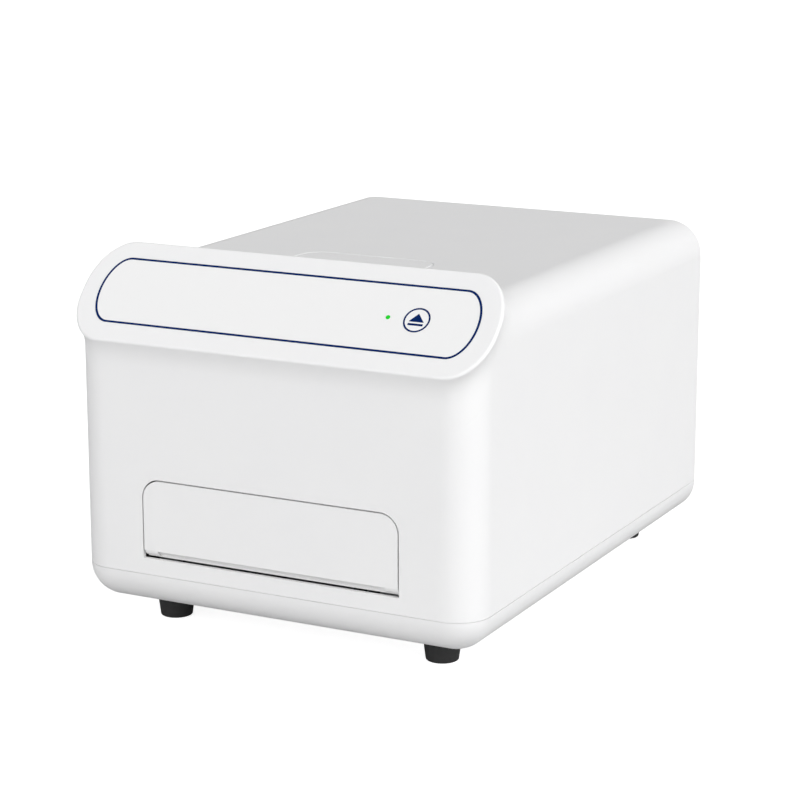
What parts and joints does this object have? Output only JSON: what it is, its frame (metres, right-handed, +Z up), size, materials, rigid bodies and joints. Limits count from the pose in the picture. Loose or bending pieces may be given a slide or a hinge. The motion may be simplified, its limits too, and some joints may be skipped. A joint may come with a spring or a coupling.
{
  "type": "microplate reader",
  "caption": "Benchtop microplate reader with a rounded housing, tilted control panel with an eject key, fold-down plate door and motorised plate tray.",
  "frame": {"origin": "on the bench, midway across the body and midway along its depth", "axes": "+X to the right of someone facing the front, +Y towards the rear panel, +Z up"},
  "size_m": [0.3092, 0.4035, 0.2601],
  "materials": {
    "white_housing": "fine satin texture, near-white",
    "white_film": "satin film",
    "green_lens": "glossy, translucent",
    "circuit_board": "green solder mask",
    "black_plastic": "matt black",
    "dark_rubber": "matt",
    "screw_steel": "zinc plated",
    "shaft_steel": "ground",
    "sheet_steel": "zinc plated sheet",
    "painted_panel": "light grey powder coat",
    "bare_aluminium": "milled",
    "black_anodised": "black anodised",
    "grey_acetal": "smooth",
    "bronze": "sintered",
    "belt_rubber": "matt",
    "optical_glass": "clear",
    "filter_glass": "coated",
    "fibre_sheath": "smooth"
  },
  "bodies": {
    "instrument": {"base_pan": "white_housing", "base_screws": "screw_steel", "board_standoffs": "bare_aluminium", "chassis_plate": "sheet_steel", "condenser_lens": "optical_glass", "deck_posts": "bare_aluminium", "deck_screws": "screw_steel", "detector_board": "circuit_board", "detector_bracket": "sheet_steel", "door_hinge_blocks": "grey_acetal", "fan_frame": "black_plastic", "filter_motor": "black_plastic", "filter_motor_bracket": "sheet_steel", "foot_screws": "screw_steel", "guide_bracket": "bare_aluminium", "guide_ferrule": "shaft_steel", "guide_rods": "shaft_steel", "idler_bracket": "sheet_steel", "idler_pin": "shaft_steel", "key_switch": "black_plastic", "keypad_board": "circuit_board", "keypad_screws": "screw_steel", "lamp": "optical_glass", "lamp_housing": "bare_aluminium", "lens_barrels": "black_anodised", "lens_manifold": "black_anodised", "lens_tube": "black_anodised", "light_guide": "fibre_sheath", "main_board": "circuit_board", "optics_deck": "bare_aluminium", "panel_overlay": "white_film", "photodiodes": "screw_steel", "power_inlet": "black_plastic", "power_supply": "sheet_steel", "rear_panel": "painted_panel", "rear_panel_screws": "screw_steel", "rocker_frame": "black_plastic", "rod_supports": "bare_aluminium", "rubber_feet": "dark_rubber", "status_led": "green_lens", "timing_belt": "belt_rubber", "tray_motor": "black_plastic", "tray_motor_bracket": "sheet_steel", "upper_housing": "white_housing", "usb_port": "sheet_steel"},
    "tray": {"plate_carrier": "black_anodised", "carrier_bushings": "bronze", "belt_clamp": "bare_aluminium"},
    "door": {"plate_door": "white_housing", "door_hinge_pins": "shaft_steel"},
    "eject_key": {"eject_button": "white_film"},
    "wheel": {"filter_wheel": "black_anodised", "optical_filters": "filter_glass", "wheel_shaft": "shaft_steel"},
    "drive": {"drive_pulley": "bare_aluminium", "drive_shaft": "shaft_steel"},
    "idler": {"idler_pulley": "bare_aluminium"},
    "fan": {"fan_rotor": "black_plastic"},
    "mains_rocker": {"power_rocker": "black_plastic"},
    "hatch": {"service_hatch": "white_housing"}
  },
  "joints": [
    {"name": "tray_slide", "type": "slide", "parent": "instrument", "child": "tray", "axis": [0, -1, 0], "range_m": [0, 0.22]},
    {"name": "door_hinge", "type": "hinge", "parent": "instrument", "child": "door", "pos_m": [0, -0.1925, 0.0609], "axis": [1, 0, 0], "range_deg": [0, 88.1]},
    {"name": "drive_spin", "type": "hinge", "parent": "instrument", "child": "drive", "pos_m": [0, 0.1085, 0.069], "axis": [1, 0, 0], "range_deg": [0, 1981]},
    {"name": "idler_spin", "type": "hinge", "parent": "instrument", "child": "idler", "pos_m": [0, -0.17052, 0.069], "axis": [1, 0, 0], "range_deg": [0, 1981]},
    {"name": "eject_press", "type": "slide", "parent": "instrument", "child": "eject_key", "axis": [0, 0.7193, -0.6947], "range_m": [0, 0.0008], "stiffness_N_per_m": 900},
    {"name": "filter_wheel_spin", "type": "hinge", "parent": "instrument", "child": "wheel", "pos_m": [0, -0.0965, 0.165], "axis": [0, 1, 0], "continuous": true},
    {"name": "fan_spin", "type": "hinge", "parent": "instrument", "child": "fan", "pos_m": [0, 0.1825, 0.19], "axis": [0, 1, 0], "continuous": true},
    {"name": "rocker_switch", "type": "hinge", "parent": "instrument", "child": "mains_rocker", "pos_m": [-0.054, 0.1956, 0.088], "axis": [1, 0, 0], "range_deg": [0, 20]},
    {"name": "hatch_lift", "type": "slide", "parent": "instrument", "child": "hatch", "axis": [0, 0, 1], "range_m": [0, 0.06]}
  ],
  "couplings": [
    {"joint": "door_hinge", "follows": "tray_slide", "rad_per_m": 6.981},
    {"joint": "drive_spin", "follows": "tray_slide", "rad_per_m": 157.08},
    {"joint": "idler_spin", "follows": "tray_slide", "rad_per_m": 157.08}
  ]
}
